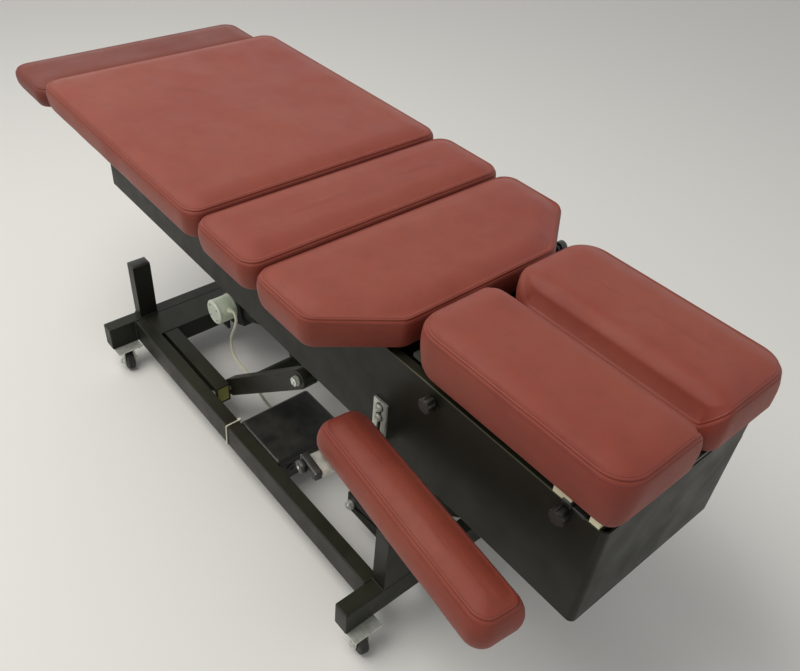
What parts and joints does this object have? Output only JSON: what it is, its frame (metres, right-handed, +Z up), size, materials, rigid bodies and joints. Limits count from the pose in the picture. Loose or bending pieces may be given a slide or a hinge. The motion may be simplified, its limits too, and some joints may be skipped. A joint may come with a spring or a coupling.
{
  "type": "chiropractic table",
  "caption": "Powered height-adjustable chiropractic table with upholstered sections, split face cushions, swinging armrests, a parallelogram lift and a caster base.",
  "frame": {"origin": "on the floor below the centre of the table's bounding box", "axes": "+X along the table from the ankle section to the head cushions, +Y to the patient's left when lying face up, +Z up"},
  "size_m": [1.6317, 0.636, 0.728],
  "materials": {
    "vinyl": "satin",
    "powder_coat": "satin",
    "zinc": "satin",
    "tread": "matte",
    "black_plastic": "satin",
    "motor_shell": "satin",
    "cream_nylon": "satin"
  },
  "bodies": {
    "base": {"base_rail_left": "powder_coat", "base_rail_right": "powder_coat", "foot_crossbar": "powder_coat", "head_crossbar": "powder_coat", "foot_channel": "powder_coat", "foot_beam_left": "powder_coat", "foot_beam_right": "powder_coat", "head_beams": "powder_coat", "corner_posts": "powder_coat", "beam_plugs": "cream_nylon", "actuator_bracket": "powder_coat", "base_pivot_bolts": "zinc", "caster_plates": "zinc", "control_box": "black_plastic", "motor_lead": "cream_nylon"},
    "foot_arms": {"foot_arm_left": "powder_coat", "foot_arm_right": "powder_coat", "foot_arm_tube": "powder_coat"},
    "head_arms": {"head_arm_left": "powder_coat", "head_arm_right": "powder_coat", "head_arm_tube": "powder_coat"},
    "deck": {"side_panel_left": "powder_coat", "side_panel_right": "powder_coat", "head_end_panel": "powder_coat", "foot_end_panel": "powder_coat", "deck_plate": "powder_coat", "rest_pads": "cream_nylon", "deck_hangers": "powder_coat", "deck_pivot_bolts": "zinc", "leg_cushion": "vinyl", "strap_bolts": "zinc"},
    "actuator": {"actuator_housing": "black_plastic", "actuator_motor": "motor_shell"},
    "rod": {"actuator_rod": "zinc"},
    "ankle_section": {"ankle_slide": "powder_coat", "ankle_cushion": "vinyl"},
    "pelvic_section": {"pelvic_carriage": "powder_coat", "pelvic_cushion": "vinyl"},
    "chest_section": {"chest_carriage": "powder_coat", "chest_cushion": "vinyl"},
    "head_section": {"head_frame": "powder_coat", "head_cushion_left": "vinyl", "head_cushion_right": "vinyl"},
    "tilt_knob_body": {"tilt_knob": "black_plastic"},
    "drop_knob_body": {"drop_knob": "black_plastic"},
    "chest_lever_body": {"chest_lever": "black_plastic"},
    "strap_left": {"armrest_strap_left": "zinc"},
    "strap_right": {"armrest_strap_right": "zinc"},
    "armrest_left": {"armrest_carrier_left": "zinc", "armrest_cushion_left": "vinyl"},
    "armrest_right": {"armrest_carrier_right": "zinc", "armrest_cushion_right": "vinyl"},
    "fork_foot_left": {"caster_fork_foot_left": "zinc"},
    "wheel_foot_left": {"caster_wheel_foot_left": "tread"},
    "fork_foot_right": {"caster_fork_foot_right": "zinc"},
    "wheel_foot_right": {"caster_wheel_foot_right": "tread"},
    "fork_head_left": {"caster_fork_head_left": "zinc"},
    "wheel_head_left": {"caster_wheel_head_left": "tread"},
    "fork_head_right": {"caster_fork_head_right": "zinc"},
    "wheel_head_right": {"caster_wheel_head_right": "tread"}
  },
  "joints": [
    {"name": "lift", "type": "hinge", "parent": "base", "child": "foot_arms", "pos_m": [-0.158, 0, 0.101], "axis": [0, -1, 0], "range_deg": [-21, 19]},
    {"name": "head_arm_swing", "type": "hinge", "parent": "base", "child": "head_arms", "pos_m": [0.272, 0, 0.101], "axis": [0, -1, 0], "range_deg": [-21, 19]},
    {"name": "deck_swing", "type": "hinge", "parent": "foot_arms", "child": "deck", "pos_m": [0.12124, 0, 0.34374], "axis": [0, -1, 0], "range_deg": [-19, 21]},
    {"name": "actuator_tilt", "type": "hinge", "parent": "base", "child": "actuator", "pos_m": [-0.35, -0.031, 0.152], "axis": [0, -1, 0], "range_deg": [-10, 9], "deforming": ["motor_lead"]},
    {"name": "rod_stroke", "type": "slide", "parent": "actuator", "child": "rod", "axis": [0.9141, 0, 0.4055], "range_m": [-0.046, 0.05]},
    {"name": "ankle_extend", "type": "slide", "parent": "deck", "child": "ankle_section", "axis": [-1, 0, 0], "range_m": [0, 0.15]},
    {"name": "pelvic_drop", "type": "slide", "parent": "deck", "child": "pelvic_section", "axis": [0, 0, -1], "range_m": [0, 0.012]},
    {"name": "chest_drop", "type": "slide", "parent": "deck", "child": "chest_section", "axis": [0, 0, -1], "range_m": [0, 0.012]},
    {"name": "head_tilt", "type": "hinge", "parent": "deck", "child": "head_section", "pos_m": [0.442, 0, 0.622], "axis": [0, -1, 0], "range_deg": [0, 12]},
    {"name": "tilt_knob_turn", "type": "hinge", "parent": "deck", "child": "tilt_knob_body", "pos_m": [0.735, -0.168, 0.598], "axis": [0, -1, 0], "range_deg": [-90, 90]},
    {"name": "drop_knob_turn", "type": "hinge", "parent": "deck", "child": "drop_knob_body", "pos_m": [0.484, -0.168, 0.59], "axis": [0, -1, 0], "range_deg": [-90, 90]},
    {"name": "chest_lever_turn", "type": "hinge", "parent": "deck", "child": "chest_lever_body", "pos_m": [0.272, 0.168, 0.545], "axis": [0, -1, 0], "range_deg": [-25, 25]},
    {"name": "strap_lift_left", "type": "slide", "parent": "deck", "child": "strap_left", "axis": [0, 0, 1], "range_m": [0, 0.04]},
    {"name": "armrest_swing_left", "type": "hinge", "parent": "strap_left", "child": "armrest_left", "pos_m": [0.375, -0.232, 0.42], "axis": [0, 0, -1], "range_deg": [-7, 60]},
    {"name": "strap_lift_right", "type": "slide", "parent": "deck", "child": "strap_right", "axis": [0, 0, 1], "range_m": [0, 0.04]},
    {"name": "armrest_swing_right", "type": "hinge", "parent": "strap_right", "child": "armrest_right", "pos_m": [0.375, 0.232, 0.42], "axis": [0, 0, 1], "range_deg": [-7, 60]},
    {"name": "swivel_foot_left", "type": "hinge", "parent": "base", "child": "fork_foot_left", "pos_m": [-0.484, -0.268, 0.055], "axis": [0, 0, 1], "continuous": true},
    {"name": "wheel_spin_foot_left", "type": "hinge", "parent": "fork_foot_left", "child": "wheel_foot_left", "pos_m": [-0.46013, -0.27051, 0.025], "axis": [0.1045, 0.9945, 0], "continuous": true},
    {"name": "swivel_foot_right", "type": "hinge", "parent": "base", "child": "fork_foot_right", "pos_m": [-0.484, 0.268, 0.055], "axis": [0, 0, 1], "continuous": true},
    {"name": "wheel_spin_foot_right", "type": "hinge", "parent": "fork_foot_right", "child": "wheel_foot_right", "pos_m": [-0.46071, 0.27381, 0.025], "axis": [-0.2419, 0.9703, 0], "continuous": true},
    {"name": "swivel_head_left", "type": "hinge", "parent": "base", "child": "fork_head_left", "pos_m": [0.459, -0.268, 0.055], "axis": [0, 0, 1], "continuous": true},
    {"name": "wheel_spin_head_left", "type": "hinge", "parent": "fork_head_left", "child": "wheel_head_left", "pos_m": [0.48248, -0.27299, 0.025], "axis": [0.2079, 0.9781, 0], "continuous": true},
    {"name": "swivel_head_right", "type": "hinge", "parent": "base", "child": "fork_head_right", "pos_m": [0.459, 0.268, 0.055], "axis": [0, 0, 1], "continuous": true},
    {"name": "wheel_spin_head_right", "type": "hinge", "parent": "fork_head_right", "child": "wheel_head_right", "pos_m": [0.48291, 0.27009, 0.025], "axis": [-0.0872, 0.9962, 0], "continuous": true}
  ],
  "couplings": [
    {"joint": "head_arm_swing", "follows": "lift", "ratio": 1},
    {"joint": "deck_swing", "follows": "lift", "ratio": -1},
    {"joint": "actuator_tilt", "follows": "lift", "ratio": 0.435},
    {"joint": "rod_stroke", "follows": "lift", "m_per_rad": -0.1185}
  ]
}
